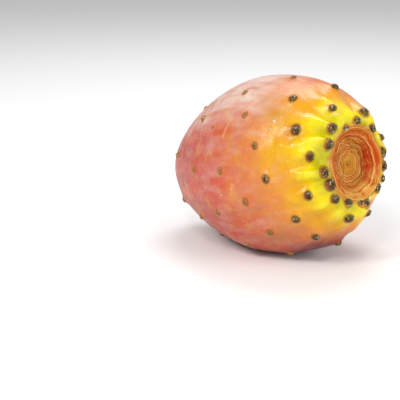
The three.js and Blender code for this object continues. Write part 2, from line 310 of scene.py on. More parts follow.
def skin_relief(arc, bearing):
    """Height of the skin over the barrel."""
    height = humps(arc, bearing) + folds(arc, bearing) - SKIN_SINK * np.exp(-arc / HUMP_FADE)
    for wave_height, lobes, along, phase in UNEVENNESS:
        angle = lobes * np.radians(bearing) + 2 * math.pi * arc / along
        height = height + wave_height * np.sin(angle + phase)
    at_rim = RIM_CALM + (1 - RIM_CALM) * smoothstep(arc, 0, RIM_CALM_REACH)
    return height * at_rim * smoothstep(STEM_SCAR_ARC - arc, 0, HUMP_TO_STEM)


def scar_depth(radius):
    """Depth of the scar's bed at radii, with the moat round its floor."""
    moat = MOAT_DEPTH * np.exp(-(((radius - MOAT_RADIUS) / MOAT_HALF_WIDTH) ** 2))
    return SCAR_DEPTH * (1 - smoothstep(radius, SCAR_FLOOR_RADIUS, SCAR_BRIM_RADIUS)) + moat


def place(radius, along, bearing):
    """Points in mm in the part's frame, from cylinder coordinates round the long axis."""
    angle = np.radians(bearing)
    radial = np.cos(angle)[..., None] * UPWARD + np.sin(angle)[..., None] * SIDEWAYS
    return AXIS_MIDDLE + (along - LENGTH / 2)[..., None] * AXIS + radius[..., None] * radial


# ---------------------------------------------------------------- meshes of the rind and the scar

SIDES = 340
SKIN_ROWS = 228
STEM_SCAR_ROWS = 8
SCAR_ROWS = 62
# Share by which the rind's rows crowd together towards the flower scar.
ROW_CROWDING = 0.65
# The scar is a closed cap; the rind runs on below it at half its thickness, between two shares of the
# scar's radius. The cap's underside has a row at each of its shares.
SCAR_THICKNESS = 1.0
HIDDEN_ROWS = 18
HIDDEN_FROM = 0.96
HIDDEN_TO = 0.06
UNDERSIDE = (0.98, 0.75, 0.5, 0.25)

BEARING = np.arange(SIDES) * 360 / SIDES
ANGLE = np.radians(BEARING)


def cushion_size(arc):
    """Size of the cushions at arcs, as a share of the size at the scar."""
    return CUSHION_AT_STEM + (1 - CUSHION_AT_STEM) * np.exp(-((arc / CUSHION_FADE) ** 2))


def about_areoles(arc, bearing):
    """Distance to the nearest areole in half cushions, how strong its stain is, height of the collars."""
    radius = skin_point(np.maximum(0, arc))[0]
    nearest = np.full(np.broadcast(arc, bearing).shape, np.inf)
    stain = np.zeros(nearest.shape)
    collars = np.zeros(nearest.shape)
    for areole_bearing, areole_arc, own_size in AREOLES:
        size = cushion_size(areole_arc) * own_size
        turn = np.radians(turn_between(bearing, areole_bearing))
        across = turn * radius / (CUSHION_ACROSS / 2 * size)
        ahead = (arc - areole_arc) / (CUSHION_ALONG / 2 * size)
        away = np.hypot(ahead, across)
        nearest = np.minimum(nearest, away)
        stain += np.exp(-((ahead - STAIN_BEHIND) ** 2) - (across / STAIN_HALF_WIDTH) ** 2)
        collars += COLLAR_HEIGHT * size * np.exp(-((away / COLLAR_SPREAD) ** 2))
    return nearest, stain, collars


def how_ripe(arc, bearing):
    """0 at the flower end, 1 where the yellow has turned to orange, more towards the stem."""
    turned = YELLOW_REACH + YELLOW_BIAS * np.cos(np.radians(bearing - YELLOW_SIDE))
    return np.maximum(0, arc) / turned


def how_bloomed(arc, bearing):
    """How thick the waxy bloom lies: on the stem half, most on the top, partly as painted sheen, and a
    little at the back.
    """
    top = lobe(bearing, *BLOOM_AND_SHEEN_TOP_LOBE)
    back = lobe(bearing, *BLOOM_BACK_LOBE) * (1 - top)
    around = BLOOM_ALL_ROUND + BLOOM_AND_SHEEN_ON_TOP * top + BLOOM_AT_BACK * back
    return smoothstep(arc, *BLOOM_ARCS) * around


def scratches(arc, bearing):
    """1 on a healed scratch, 0 off it."""
    lines = [off_line(arc, bearing, start, end) for start, end in SCRATCHES]
    return np.exp(-((np.min(lines, axis=0) / SCRATCH_HALF_WIDTH) ** 2))


def near_places(arc, bearing, places):
    """1 at each of the (bearing, arc, half width) places, fading to 0 round it."""
    total = np.zeros(np.broadcast(arc, bearing).shape)
    for place_bearing, place_arc, half_width in places:
        radius = skin_point(place_arc)[0]
        across = np.radians(turn_between(bearing, place_bearing)) * radius
        total = np.maximum(total, np.exp(-(across**2 + (arc - place_arc) ** 2) / half_width**2))
    return total


def how_crimson(arc, bearing):
    """How strong the painted shade is, in dark crimson, underneath and behind the flower end."""
    return lobe(bearing, *CRIMSON_SHADE_LOBE) * smoothstep(arc, *CRIMSON_SHADE_ARCS)


def rind_rows():
    """Radius, axial place and arc of each row and side, from the stem scar to below the flower scar."""
    dish = (STEM_SCAR_RADIUS * np.arange(1, STEM_SCAR_ROWS) / STEM_SCAR_ROWS)[:, None]
    edge = skin_point(STEM_SCAR_ARC)[1]
    dish_along = edge + STEM_SCAR_DEPTH * (1 - (dish / STEM_SCAR_RADIUS) ** STEM_SCAR_POWER)

    share = np.linspace(1, 0, SKIN_ROWS)
    arc = (STEM_SCAR_ARC * ((1 - ROW_CROWDING) * share + ROW_CROWDING * share**2))[:, None]
    radius, along = skin_point(arc)
    radial, axial = skin_normal(arc)
    relief = skin_relief(arc, BEARING[None, :]) + about_areoles(arc, BEARING[None, :])[2]

    hidden = (SCAR_RADIUS * np.linspace(HIDDEN_FROM, HIDDEN_TO, HIDDEN_ROWS))[:, None]
    hidden_along = scar_along(hidden) - SCAR_THICKNESS / 2

    full = np.ones((1, SIDES))
    radii = np.vstack([dish * full, radius + radial * relief, ring_radius(hidden)])
    alongs = np.vstack([dish_along * full, along + axial * relief, hidden_along])
    arcs = np.vstack([(SKIN_ARC - dish) * full, arc * full, (hidden - SCAR_RADIUS) * full])
    return radii, alongs, arcs


def ring_place(radius):
    """Radius as the growth rings have it: they are out of round and run in and out unevenly."""
    uneven = sum(
        wave_height * np.sin(lobes * ANGLE + twist * radius + phase)
        for wave_height, lobes, twist, phase in RING_WAVES
    )
    uneven = uneven * smoothstep(radius, 0, WAVES_FROM_MIDDLE)
    return radius + uneven * smoothstep(SCAR_RADIUS - radius, 0, WAVES_FROM_RIM)


def ring_radius(radius):
    """Radius with the inner rings taller than they are wide."""
    return radius * (1 + RING_OVAL * (1 - radius / SCAR_RADIUS) * np.cos(2 * ANGLE))


def terrace(turns):
    """Height from 0 to 1 of one ring after another, each rising slowly outwards and dropping at once."""
    share = turns % 1
    return smoothstep(share, 0, RING_RISE) * smoothstep(1 - share, 0, RING_DROP)


def scar_along(radius):
    """Axial place of the scar's bed at radii, as one value for each side."""
    rim = np.zeros((1, 1))
    carried = skin_relief(rim, BEARING[None, :]) + about_areoles(rim, BEARING[None, :])[2]
    carried = carried * np.exp(-(((radius - SCAR_RADIUS) / RIM_ROUND) ** 2))
    return LENGTH - scar_depth(radius) + carried


def scar_rows():
    """Radius, axial place and ring place of each row and side of the cap: over it, then under it."""
    ring = (SCAR_RADIUS * np.arange(1, SCAR_ROWS + 1) / SCAR_ROWS)[:, None]
    radius = ring_radius(ring)
    turns = (SCAR_RADIUS - ring_place(ring)) / RING_PITCH
    swell = 1 - RING_SWELL + RING_SWELL * np.sin(SWELL_LOBES * ANGLE + SWELL_TWIST * ring)
    crest = 2 * RING_HEIGHT * swell * (terrace(1 - turns) - 0.5)
    crest = crest + FINE_RING_HEIGHT * (terrace(FINE_RING_START - FINE_RINGS * turns) - 0.5)
    crest = crest * smoothstep(SCAR_RADIUS - ring, 0, RING_PITCH / 2)
    under = (SCAR_RADIUS * np.array(UNDERSIDE))[:, None]
    full = np.ones((1, SIDES))
    radii = np.vstack([radius, under * full])
    alongs = np.vstack([scar_along(ring) + crest, scar_along(under) - SCAR_THICKNESS])
    return radii, alongs, np.vstack([ring_place(ring), under * full])


def closed_mesh(name, radii, alongs, first_pole, last_pole):
    """Mesh of rows of points round the long axis, closed by a fan to a point on the axis at each end."""
    points = place(radii, alongs, BEARING[None, :] + 0 * radii).reshape(-1, 3)
    poles = place(np.zeros(2), np.array([first_pole, last_pole]), np.zeros(2))
    vertices = np.vstack([points, poles])
    vertices[:, 2] = np.maximum(vertices[:, 2], 0)
    side = np.arange(SIDES)
    after = (side + 1) % SIDES
    faces = [np.stack([after, side, np.full(SIDES, len(points))], axis=1).tolist()]
    for row in range(len(radii) - 1):
        low, high = row * SIDES, (row + 1) * SIDES
        faces.append(np.stack([low + side, low + after, high + after, high + side], axis=1).tolist())
    last = (len(radii) - 1) * SIDES
    faces.append(np.stack([last + side, last + after, np.full(SIDES, len(points) + 1)], axis=1).tolist())
    mesh = bpy.data.meshes.new(name)
    mesh.from_pydata((vertices * MM).tolist(), [], [face for row in faces for face in row])
    mesh.shade_smooth()
    return mesh


def give(mesh, **fields):
    """Stores the values of each field for the points of a mesh; the two poles get the ends' values."""
    for name, values in fields.items():
        flat = values.reshape(-1)
        flat = np.concatenate([flat, flat[:1], flat[-1:]])
        mesh.attributes.new(name, "FLOAT", "POINT").data.foreach_set("value", flat)


def rind_mesh(rind, cork):
    """The rind from the stem scar's cork to below the flower scar, with its values for the colours."""
    radii, alongs, arcs = rind_rows()
    edge = skin_point(STEM_SCAR_ARC)[1]
    middle = LENGTH - SCAR_DEPTH - SCAR_THICKNESS / 2
    mesh = closed_mesh("rind", radii, alongs, edge + STEM_SCAR_DEPTH, middle)
    bearings = BEARING[None, :] + 0 * radii
    away, stain, _ = about_areoles(arcs, bearings)
    give(
        mesh, arc=arcs, relief=humps(arcs, bearings) + folds(arcs, bearings),
        ripeness=how_ripe(arcs, bearings), crimson=how_crimson(arcs, bearings),
        bloom=how_bloomed(arcs, bearings), scratch=scratches(arcs, bearings),
        bead=near_places(arcs, bearings, BEADS), olive=near_places(arcs, bearings, OLIVE_PATCHES),
        yellow=near_places(arcs, bearings, YELLOW_PATCHES), from_areole=away, stain=stain,
    )
    mesh.materials.append(rind)
    mesh.materials.append(cork)
    corky = np.zeros(len(mesh.polygons), dtype=np.int32)
    corky[:SIDES * STEM_SCAR_ROWS] = 1
    mesh.polygons.foreach_set("material_index", corky)
    return mesh


def scar_mesh(material):
    """The flower scar's closed cap, with its values for the colours."""
    radii, alongs, rings = scar_rows()
    middle = LENGTH - SCAR_DEPTH
    mesh = closed_mesh("flower_scar", radii, alongs, middle, middle - SCAR_THICKNESS)
    mesh.flip_normals()
    bearings = BEARING[None, :] + 0 * radii
    side = np.cos(np.radians(bearings - SCAR_RED_SIDE))
    give(mesh, ring=rings, side=side, pale=lobe(bearings, *SCAR_PALE_LIT_LOBE))
    mesh.materials.append(material)
    return mesh


def add_piece(name, mesh):
    """An object of this name with the mesh, in the scene."""
    piece = bpy.data.objects.new(name, mesh)
    bpy.context.scene.collection.objects.link(piece)
    return piece


# ---------------------------------------------------------------- materials

def linear(hex_colour):
    """An sRGB hex colour as linear red, green, blue and alpha."""
    channels = []
    for i in (1, 3, 5):
        share = int(hex_colour[i:i + 2], 16) / 255
        channels.append(share / 12.92 if share <= 0.04045 else ((share + 0.055) / 1.055) ** 2.4)
    return (*channels, 1.0)


def node(tree, kind, inputs=None, **settings):
    """Adds a node with its settings; an input is given a value or another node's output socket."""
    made = tree.nodes.new(kind)
    for name, value in settings.items():
        setattr(made, name, value)
    for key, value in (inputs or {}).items():
        if isinstance(value, bpy.types.NodeSocket):
            tree.links.new(value, made.inputs[key])
        else:
            made.inputs[key].default_value = value
    return made


def weigh(tree, start, *terms):
    """A plain number plus so much of each term, which is (weight, value)."""
    total = start
    for weight, value in terms:
        inputs = {0: value, 1: weight, 2: total}
        total = node(tree, "ShaderNodeMath", inputs, operation="MULTIPLY_ADD").outputs[0]
    return total


def cover(tree, share, *fades):
    """How much of a coat lies at a place: a share, times each fade.

    A fade is a value from 0 to 1, or (value, low, high), which runs from 0 at low to 1 at high. It
    runs the other way where low is larger than high.
    """
    for fade in fades:
        if isinstance(fade, tuple):
            value, low, high = fade
            inputs = {"Value": value, "From Min": low, "From Max": high}
            fade = node(tree, "ShaderNodeMapRange", inputs, interpolation_type="SMOOTHSTEP").outputs[0]
        share = node(tree, "ShaderNodeMath", {0: share, 1: fade}, operation="MULTIPLY").outputs[0]
    return share


def coats(tree, colour, *layers):
    """Lays coats over a colour, one after another; each is (hex colour or socket, share, fades)."""
    for over, share, *fades in layers:
        over = linear(over) if isinstance(over, str) else over
        inputs = {0: cover(tree, share, *fades), 6: colour, 7: over}
        colour = node(tree, "ShaderNodeMix", inputs, data_type="RGBA").outputs[2]
    return colour


def shades(tree, value, stops):
    """The colour that a value from 0 to 1 has between (value, hex colour) stops."""
    made = node(tree, "ShaderNodeValToRGB", {"Fac": value})
    elements = made.color_ramp.elements
    while len(elements) < len(stops):
        elements.new(1.0)
    for element, (place_on_ramp, colour) in zip(elements, stops):
        element.position = place_on_ramp
        element.color = linear(colour)
    return made.outputs["Color"]


def clouds(tree, spot, size, detail=2.0, stretch=(1, 1, 1), roughness=0.5):
    """Cloudy values from 0 to 1 with patches about size mm wide, or stretched along the fruit."""
    scaled = node(tree, "ShaderNodeVectorMath", {0: spot, 1: stretch}, operation="MULTIPLY").outputs[0]
    return node(tree, "ShaderNodeTexNoise", {
        "Vector": scaled, "Scale": 1 / (size * MM), "Detail": detail, "Roughness": roughness,
    }).outputs["Fac"]


def mesh_values(tree, *names):
    """The values that the mesh has for each of its points under these names."""
    return [node(tree, "ShaderNodeAttribute", attribute_name=name).outputs["Fac"] for name in names]


def plain_material(name, colour, roughness):
    """A new material of one even colour."""
    material = bpy.data.materials.new(name)
    material.use_nodes = True
    shader = material.node_tree.nodes["Principled BSDF"]
    shader.inputs["Base Color"].default_value = linear(colour)
    shader.inputs["Roughness"].default_value = roughness
    return material


def start_material(name):
    """A new material, its tree, its surface shader, and where a point lies with X along the fruit."""
    material = bpy.data.materials.new(name)
    material.use_nodes = True
    tree = material.node_tree
    shader = tree.nodes["Principled BSDF"]
    spot = node(tree, "ShaderNodeTexCoord").outputs["Object"]
    inputs = {"Vector": spot, "Angle": AXIS_TILT}
    turned = node(tree, "ShaderNodeVectorRotate", inputs, rotation_type="Y_AXIS").outputs["Vector"]
    return material, tree, shader, turned


def surface(tree, shader, colour, roughness, height):
    """Links a colour, a roughness and a relief in mm, which is too fine for the mesh, to the shader."""
    bump = node(tree, "ShaderNodeBump", {"Height": height, "Strength": 1.0, "Distance": MM})
    tree.links.new(colour, shader.inputs["Base Color"])
    tree.links.new(bump.outputs["Normal"], shader.inputs["Normal"])
    if isinstance(roughness, bpy.types.NodeSocket):
        tree.links.new(roughness, shader.inputs["Roughness"])
    else:
        shader.inputs["Roughness"].default_value = roughness


# The skin falls into cells so many mm wide, and about three in ten of them hold a pimple.
PIMPLE_SPACING = 4.5
# Colours of the rind as it ripens, with 1.0 where the ripeness is FULLY_RIPE.
FULLY_RIPE = 6
RIND_SHADES = (
    (0.000, "#b6b000"), (0.032, "#cabe00"), (0.075, "#e6d000"), (0.112, "#e4be00"),
    (0.145, "#e0a804"), (0.200, "#dc9420"), (0.270, "#d67f3a"), (0.360, "#cc6836"),
    (0.480, "#c2543a"), (0.680, "#b24840"), (1.000, "#9a4242"),
)


def rind_material():
    """Plant rind under a natural wax: glossy and yellow-green at the flower end, turning orange and
    red along the fruit, mottled, and dull and pale where the wax bloom lies, which on the top is partly a
    painted sheen. It has painted shade in the grooves and underneath, and painted highlights on the crests.
    """
    material, tree, shader, spot = start_material("waxy ripe rind")
    arc, relief, ripeness, scratched = mesh_values(tree, "arc", "relief", "ripeness", "scratch")
    crimson, bloomed, beads, olive = mesh_values(tree, "crimson", "bloom", "bead", "olive")
    yellow, from_areole, stained = mesh_values(tree, "yellow", "from_areole", "stain")
    # Widths in mm. Some patterns are drawn out along the fruit, by a stretch below 1 that way.
    patches = clouds(tree, spot, 9, 3.0)
    blotches = clouds(tree, spot, 3.2, 4.0, (0.6, 1, 1))
    smudges = clouds(tree, spot, 6, 5.0, (0.5, 1, 1))
    spots = clouds(tree, spot, 5, 3.0)
    grain = clouds(tree, spot, 0.7, 3.0, (0.7, 1, 1))
    mottle = clouds(tree, spot, 1.5, 4.0, (0.8, 1, 1), 0.6)
    streaks = clouds(tree, spot, 3.4, 4.0, (0.5, 1, 1))
    wrinkles = clouds(tree, spot, 2.2, 3.0, (0.14, 1, 1))
    pores = clouds(tree, spot, 2.6, 3.0)

    ripe = weigh(tree, -0.95, (1, ripeness), (1.1, patches), (0.5, blotches), (0.3, grain))
    reddish = (ripeness, 1.1, 2.2)
    # low marks the grooves, where the colours below paint shade
    low = (relief, 0.35, -0.5)
    colour = coats(
        tree, shades(tree, weigh(tree, 0, (1 / FULLY_RIPE, ripe)), RIND_SHADES),
        # rosy and ochre blotches, red flushes and dull smudges
        ("#c4686c", 0.4, (blotches, 0.5, 0.68), reddish),
        ("#cc8836", 0.65, (spots, 0.52, 0.68), reddish),
        ("#cc4424", 0.6, (smudges, 0.52, 0.66), (ripeness, 1.6, 2.6)),
        ("#a06a40", 0.4, (smudges, 0.44, 0.34), (ripeness, 1.3, 1.8)),
        # fine mottling, tan and blushing
        ("#c08a4a", 0.4, (mottle, 0.54, 0.64), reddish),
        ("#cc5c50", 0.4, (mottle, 0.46, 0.36), reddish),
        # places that ripened otherwise, and painted shade in dark crimson underneath
        ("#a8803c", 0.5, olive, (blotches, 0.32, 0.6)),
        ("#dca032", 0.55, yellow, (blotches, 0.32, 0.6)),
        ("#6e0c0a", 0.9, crimson),
        # painted shade: green and ochre in the grooves; painted highlight: bright yellow on the crests
        ("#b0b200", 0.45, low, (arc, 7, 3)),
        ("#dc900c", 0.5, low, (arc, 4, 7), (arc, 20, 12)),
        ("#f6ea30", 0.35, (relief, 0.9, 1.7), (arc, 16, 6)),
    )

    streaky = weigh(tree, -1.6, (1.2, patches), (2.0, wrinkles))
    # The bloom lies over the colour and dulls the rind; on the top it is partly a painted sheen.
    wax_and_sheen = weigh(tree, -0.55, (1, bloomed), (1.1, streaks), (streaky, bloomed))
    wax_and_sheen = cover(tree, node(tree, "ShaderNodeClamp", {"Value": wax_and_sheen}).outputs[0], (arc, 9, 20))
    patchy = weigh(tree, 0.52, (0.3, cover(tree, 1, (patches, 0.38, 0.6))))

    scratch = cover(tree, scratched, (blotches, 0.3, 0.55))
    cells = node(tree, "ShaderNodeTexVoronoi", {"Vector": spot, "Scale": 1 / (PIMPLE_SPACING * MM)}).outputs
    chosen = node(tree, "ShaderNodeSeparateXYZ", {0: cells["Color"]}).outputs["X"]
    pimple = cover(tree, 1, (cells["Distance"], 0.09, 0.04), (chosen, 0.7, 0.72), (arc, 4, 9))
    pimple = weigh(tree, pimple, (1, cover(tree, 1, (beads, 0.25, 0.75))))

    away = weigh(tree, -0.3, (1, from_areole), (0.6, blotches))
    from_rim = weigh(tree, arc, (3.0, blotches))
    colour = coats(
        tree, colour,
        # pale waxy bloom, partly a painted sheen on the top
        ("#dac6b8", wax_and_sheen, patchy),
        ("#f2c68c", 0.4, scratch),
        ("#fbeccc", 0.55, pimple),
        # stains behind the areoles, a brown ring round each, and a tan rim round the flower scar
        ("#ac5410", 0.6, stained, (blotches, 0.3, 0.6)),
        ("#94500e", 0.75, (away, 1.5, 1.05)),
        ("#c4741c", 0.8, (from_rim, 3.0, 1.5)),
    )

    rough = weigh(tree, 0.2, (0.19, wax_and_sheen), (0.19, cover(tree, 1, (arc, 13, 26))))
    wrinkled = cover(tree, wrinkles, (arc, 14, 30))
    height = weigh(
        tree, 0, (0.32, pores), (0.05, grain), (0.15, scratch),
        (0.3, pimple), (0.08, mottle), (0.35, wrinkled),
    )
    surface(tree, shader, colour, rough, height)
    shader.inputs["Specular IOR Level"].default_value = 0.36
    # Light goes a few mm into the flesh, red light the deepest.
    shader.inputs["Subsurface Weight"].default_value = 0.12
    shader.inputs["Subsurface Radius"].default_value = (0.004, 0.0016, 0.0006)
    shader.inputs["Subsurface Scale"].default_value = 1.0
    return material


# Colours of a ring, from its foot over its pale crest to the foot of the next.
RING_SHADES = (
    (0.0, "#5c1800"), (0.1, "#a03400"), (0.32, "#c4640a"),
    (0.6, "#d88c20"), (0.84, "#ffd884"), (0.94, "#b04404"), (1.0, "#5c1800"),
)
# The rings that are drawn, as (how many to a growth ring, mm that they are shifted inwards).
DRAWN_RINGS = ((1, 0.0), (FINE_RINGS, 0.25), (5.3, 0.1))


def scar_material():
    """Dried plant tissue: hard and brittle in growth rings, with pale crests, dark brown feet, an
    orange-red wall and a faint shine where it is smooth. The moat has painted shade on one side, and the
    lower wall is pale partly with painted light.
    """
    material, tree, shader, spot = start_material("flower scar tissue")
    ring, side, pale = mesh_values(tree, "ring", "side", "pale")
    wavy = clouds(tree, spot, 2.4, 3.0)
    cloud = clouds(tree, spot, 4.5, 2.0)
    grain = clouds(tree, spot, 0.45, 4.0)
    uneven = weigh(tree, -0.65, (1, ring), (0.9, wavy), (0.4, grain))
    phases = []
    for count, offset in DRAWN_RINGS:
        pitch = RING_PITCH / count
        turns = weigh(tree, (offset - SCAR_RADIUS) / pitch, (1 / pitch, uneven))
        phases.append(node(tree, "ShaderNodeMath", {0: turns}, operation="FRACT").outputs[0])
    growth, fine, finest = phases

    ragged = weigh(tree, -1.2, (1, ring), (2.4, cloud))
    reddened = weigh(tree, side, (0.8, cloud))
    colour = coats(
        tree, shades(tree, growth, RING_SHADES),
        (shades(tree, fine, RING_SHADES), 0.4),
        (shades(tree, finest, RING_SHADES), 0.4),
        ("#d25c04", 0.42, (cloud, 0.38, 0.6)),
        # the ochre floor, its dimple, and painted shade in the moat round it on one side
        ("#d89c24", 0.5, (ring, 4.0, 2.4)),
        ("#a8842c", 0.5, (ring, 1.0, 0.4)),
        ("#6e3404", 0.42, (ring, 4.4, 5.4), (ring, 7.4, 6.2), (side, -0.2, 0.5)),
        # the wall: red on one side, orange-red at its top, pale below partly as painted light, with a light
        # rim
        ("#bc2800", 0.9, (ragged, 5.6, 6.8), (ragged, 9.0, 8.0), (reddened, 0.75, 1.2), (wavy, 0.25, 0.5)),
        ("#cc4606", 0.75, (ring, 7.2, 8.6), (ring, 10.8, 10.0), (cloud, 0.25, 0.45)),
        ("#ffca66", 0.7, pale, (ring, 6.5, 8.5), (wavy, 0.3, 0.6)),
        ("#f0ac48", 0.4, (ring, 10.0, 10.8)),
    )
    for phase, dark, light in ((fine, 0.6, 0.65), (finest, 0.35, 0.15)):
        colour = coats(
            tree, colour,
            ("#5e1c00", dark, (phase, 0.2, 0.05), (wavy, 0.3, 0.5)),
            ("#ffc25c", light, (phase, 0.62, 0.78), (phase, 0.98, 0.9), (cloud, 0.6, 0.42)),
        )
    for lip in SCAR_LIPS:
        off_lip = weigh(tree, -lip, (1, uneven))
        colour = coats(
            tree, colour,
            ("#7a2400", 0.35, (off_lip, -0.6, -0.4), (off_lip, -0.1, -0.25)),
            ("#fcc06c", 0.6, (off_lip, -0.2, 0.0), (off_lip, 0.35, 0.15), (cloud, 0.32, 0.5)),
        )
    colour = coats(tree, colour, ("#7a3408", 0.3, (grain, 0.58, 0.75)))
    height = weigh(tree, 0, (0.16, growth), (0.14, fine), (0.25, grain))
    surface(tree, shader, colour, weigh(tree, 0.08, (0.47, cloud)), height)
    shader.inputs["Specular IOR Level"].default_value = 0.1
    return material


def cork_material():
    """Cork grown over the wound where the fruit was picked: dry, rough, brown, with paler cells."""
    material, tree, shader, spot = start_material("stem scar cork")
    # Cork cells are far finer than 0.8 mm, and are drawn as coarse as they need to be to show.
    grain = clouds(tree, spot, 0.8, 5.0)
    colour = shades(tree, grain, ((0.3, "#6b4a26"), (0.5, "#9a7440"), (0.7, "#c2a068")))
    surface(tree, shader, colour, 0.85, weigh(tree, 0, (0.3, grain)))
    return material


def felt_material():
    """Plant felt of short matted hairs: olive, nearly black on the crown, brown on the stem side, tan
    far from the flower scar, with pale specks as painted glints.
    """
    material, tree, shader, spot = start_material("areole felt")
    knob = node(tree, "ShaderNodeAttribute", attribute_name="knob").outputs["Vector"]
    knob = node(tree, "ShaderNodeSeparateXYZ", {0: knob}).outputs
    tan = mesh_values(tree, "tan")[0]
    # The hairs are far finer than 0.45 mm, and are drawn as coarse as they need to be to show.
    grain = clouds(tree, spot, 0.45, 4.0)
    clumps = clouds(tree, spot, 1.2, 2.0)
    painted_glints = clouds(tree, spot, 0.6, 1.0)
    stemward = weigh(tree, knob["Y"], (1, clumps))
    crown = weigh(tree, knob["Z"], (0.5, clumps))
    colour = coats(
        tree, shades(tree, weigh(tree, -0.2, (0.8, grain), (0.6, clumps)), (
            (0.30, "#140c03"), (0.43, "#3a2a0c"), (0.53, "#62501c"), (0.63, "#87753a"), (0.78, "#b3a46c"),
        )),
        ("#7c3f10", 0.75, (stemward, 0.35, -0.05)),
        ("#ae742e", 0.85, tan),
        ("#0d0904", weigh(tree, 0.6, (-0.2, tan)), (crown, 0.95, 1.25)),
        # painted highlights: pale specks that stand in for glints
        ("#e4dac2", 0.7, (painted_glints, 0.64, 0.69)),
    )
    surface(tree, shader, colour, 0.32, weigh(tree, 0, (0.35, grain), (0.4, clumps)))
    shader.inputs["Specular IOR Level"].default_value = 0.22
    return material


# ---------------------------------------------------------------- areole cushions and bristles

def areole_points():
    """One vertex per areole on the skin, with the way out of the skin, the way along it and a size."""
    bearing, arc, own_size = np.array(AREOLES, dtype=float).T
    radius, along = skin_point(arc)
    radial, axial = skin_normal(arc)
    relief = np.array([skin_relief(a, b) for a, b in zip(arc, bearing)])
    size = cushion_size(arc) * own_size
    lift = relief + size * (FELT_TOP - CUSHION_FOOT) / 2
    middle = place(radius + radial * lift, along + axial * lift, bearing)
    angle = np.radians(bearing)[:, None]
    spoke = np.cos(angle) * UPWARD + np.sin(angle) * SIDEWAYS
    out = spoke * radial[:, None] + AXIS * axial[:, None]
    lengthways = np.cross(np.cross(spoke, AXIS), out)
    mesh = bpy.data.meshes.new("areole_points")
    mesh.from_pydata((middle * MM).tolist(), [], [])
    for name, values in (("out", out), ("lengthways", lengthways)):
        mesh.attributes.new(name, "FLOAT_VECTOR", "POINT").data.foreach_set("vector", values.ravel())
    for name, values in (("size", size), ("tan", smoothstep(arc, *TAN_ARCS))):
        mesh.attributes.new(name, "FLOAT", "POINT").data.foreach_set("value", values)
    return mesh


def new_tree(name, sizes):
    """A Geometry Nodes tree with a geometry going in and out and a named input for each size."""
    tree = bpy.data.node_groups.new(name, "GeometryNodeTree")
    tree.interface.new_socket("Geometry", in_out="INPUT", socket_type="NodeSocketGeometry")
    tree.interface.new_socket("Geometry", in_out="OUTPUT", socket_type="NodeSocketGeometry")
    for size in sizes:
        tree.interface.new_socket(size, in_out="INPUT", socket_type="NodeSocketFloat")
    return tree


def grow(name, mesh, tree, sizes):
    """Runs a tree on a mesh with the given sizes and returns the result as a plain piece."""
    source = add_piece(name + "_source", mesh)
    modifier = source.modifiers.new("grow", "NODES")
    modifier.node_group = tree
    for item in tree.interface.items_tree:
        if item.in_out == "INPUT" and item.name in sizes:
            modifier[item.identifier] = sizes[item.name]
    evaluated = source.evaluated_get(bpy.context.evaluated_depsgraph_get())
    grown = bpy.data.meshes.new_from_object(evaluated)
    source.modifiers.remove(modifier)
    bpy.data.objects.remove(source)
    return add_piece(name, grown)


CUSHION_SIZES = {
    "Half width": CUSHION_ACROSS / 2 * MM,
    "Half length": CUSHION_ALONG / 2 * MM,
    "Half height": (FELT_TOP + CUSHION_FOOT) / 2 * MM,
    "Lump width": 1.0 * MM,
    "Lump height": LUMP_HEIGHT * MM,
}


def cushion_tree(material):
    """Felted lumps, one at each areole, each with its own uneven surface."""
    tree = new_tree("areole cushions", CUSHION_SIZES)
    given = node(tree, "NodeGroupInput").outputs
    ball = node(tree, "GeometryNodeMeshIcoSphere", {"Radius": 1.0, "Subdivisions": 4}).outputs[0]

    spot = node(tree, "GeometryNodeInputPosition").outputs[0]
    half = node(tree, "ShaderNodeCombineXYZ", {
        "X": given["Half width"], "Y": given["Half length"], "Z": given["Half height"],
    }).outputs[0]
    sized = node(tree, "ShaderNodeVectorMath", {0: spot, 1: half}, operation="MULTIPLY").outputs[0]
    knob = node(tree, "GeometryNodeStoreNamedAttribute", {
        "Geometry": ball, "Name": "knob", "Value": spot,
    }, data_type="FLOAT_VECTOR", domain="POINT").outputs[0]
    shaped = node(tree, "GeometryNodeSetPosition", {"Geometry": knob, "Position": sized}).outputs[0]

    out = node(tree, "GeometryNodeInputNamedAttribute", {"Name": "out"}, data_type="FLOAT_VECTOR")
    way = node(tree, "GeometryNodeInputNamedAttribute", {"Name": "lengthways"}, data_type="FLOAT_VECTOR")
    size = node(tree, "GeometryNodeInputNamedAttribute", {"Name": "size"}, data_type="FLOAT")
    stood = node(tree, "FunctionNodeAlignRotationToVector", {"Vector": out.outputs[0]}, axis="Z")
    turned = node(tree, "FunctionNodeAlignRotationToVector", {
        "Rotation": stood.outputs[0], "Vector": way.outputs[0],
    }, axis="Y", pivot_axis="Z")
    placed = node(tree, "GeometryNodeInstanceOnPoints", {
        "Points": given["Geometry"], "Instance": shaped,
        "Rotation": turned.outputs[0], "Scale": size.outputs[0],
    }).outputs[0]
    real = node(tree, "GeometryNodeRealizeInstances", {"Geometry": placed}).outputs[0]

    fineness = node(tree, "ShaderNodeMath", {0: 1.0, 1: given["Lump width"]}, operation="DIVIDE").outputs[0]
    lumps = node(tree, "ShaderNodeTexNoise", {"Scale": fineness, "Detail": 3.0}).outputs[0]
    in_or_out = weigh(tree, -1.0, (2.0, lumps))
    amount = weigh(tree, 0.0, (in_or_out, given["Lump height"]))
    normal = node(tree, "GeometryNodeInputNormal").outputs[0]
    shift = node(tree, "ShaderNodeVectorMath", {0: normal, "Scale": amount}, operation="SCALE").outputs[0]
    uneven = node(tree, "GeometryNodeSetPosition", {"Geometry": real, "Offset": shift}).outputs[0]
    smooth = node(tree, "GeometryNodeSetShadeSmooth", {"Geometry": uneven}).outputs[0]
    dressed = node(tree, "GeometryNodeSetMaterial", {"Geometry": smooth, "Material": material}).outputs[0]
    node(tree, "NodeGroupOutput", {"Geometry": dressed})
    return tree


